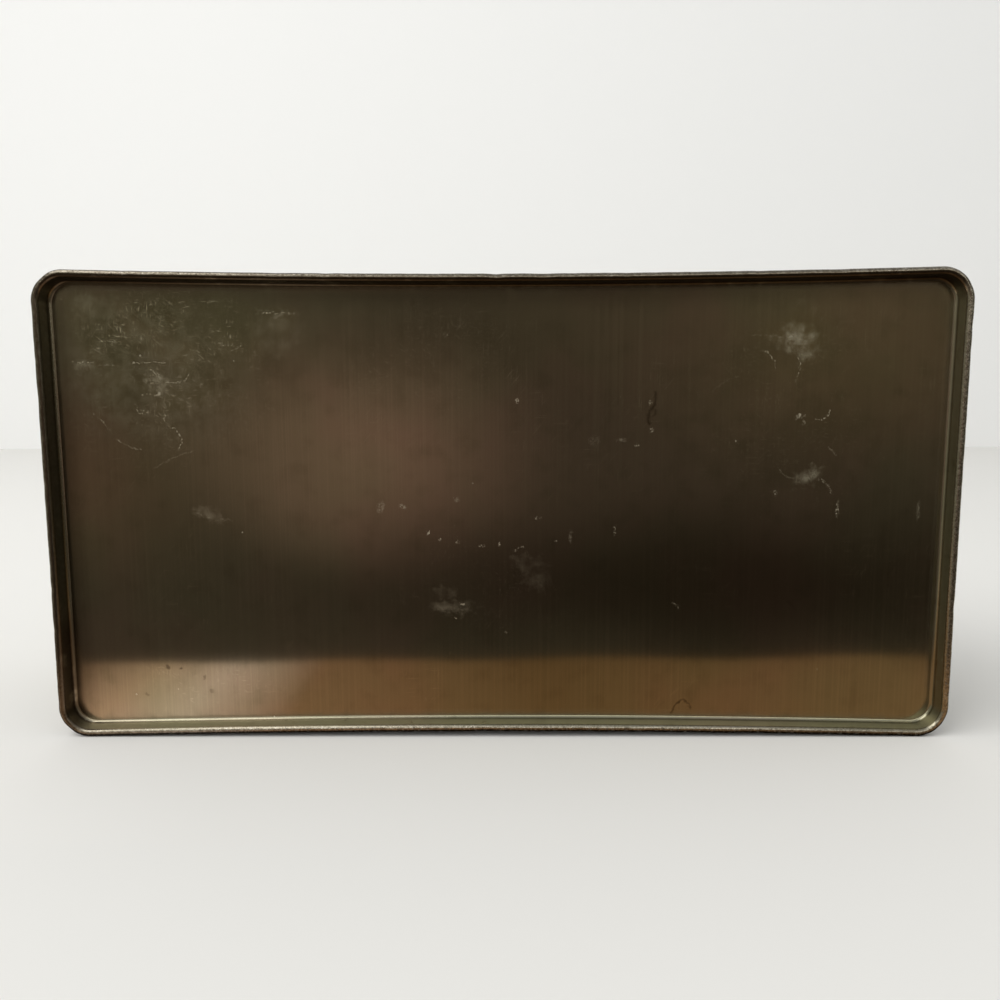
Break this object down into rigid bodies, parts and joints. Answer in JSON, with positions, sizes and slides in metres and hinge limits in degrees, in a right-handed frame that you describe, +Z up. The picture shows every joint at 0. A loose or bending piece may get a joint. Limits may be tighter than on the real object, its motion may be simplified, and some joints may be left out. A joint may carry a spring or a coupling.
{
  "type": "rectangular tin",
  "caption": "Shut rectangular tinplate tin standing on a long side, with a recessed, double-seamed base end and a slip-on lid.",
  "frame": {"origin": "under the middle of the tin, on the surface it stands on", "axes": "+Z up, +X along the tin's long side, -Y out of the base end, +Y out of the lid"},
  "size_m": [0.23, 0.07, 0.1186],
  "materials": {
    "body_tinplate": "bare aged tinplate, rubbed dull",
    "base_tinplate": "bare aged tinplate with a fine rolling grain, scratches and worn edges",
    "lid_tinplate": "bare aged tinplate, rubbed dull"
  },
  "bodies": {
    "root": {"body": "body_tinplate", "base_end": "base_tinplate", "lid": "lid_tinplate"}
  },
  "joints": []
}
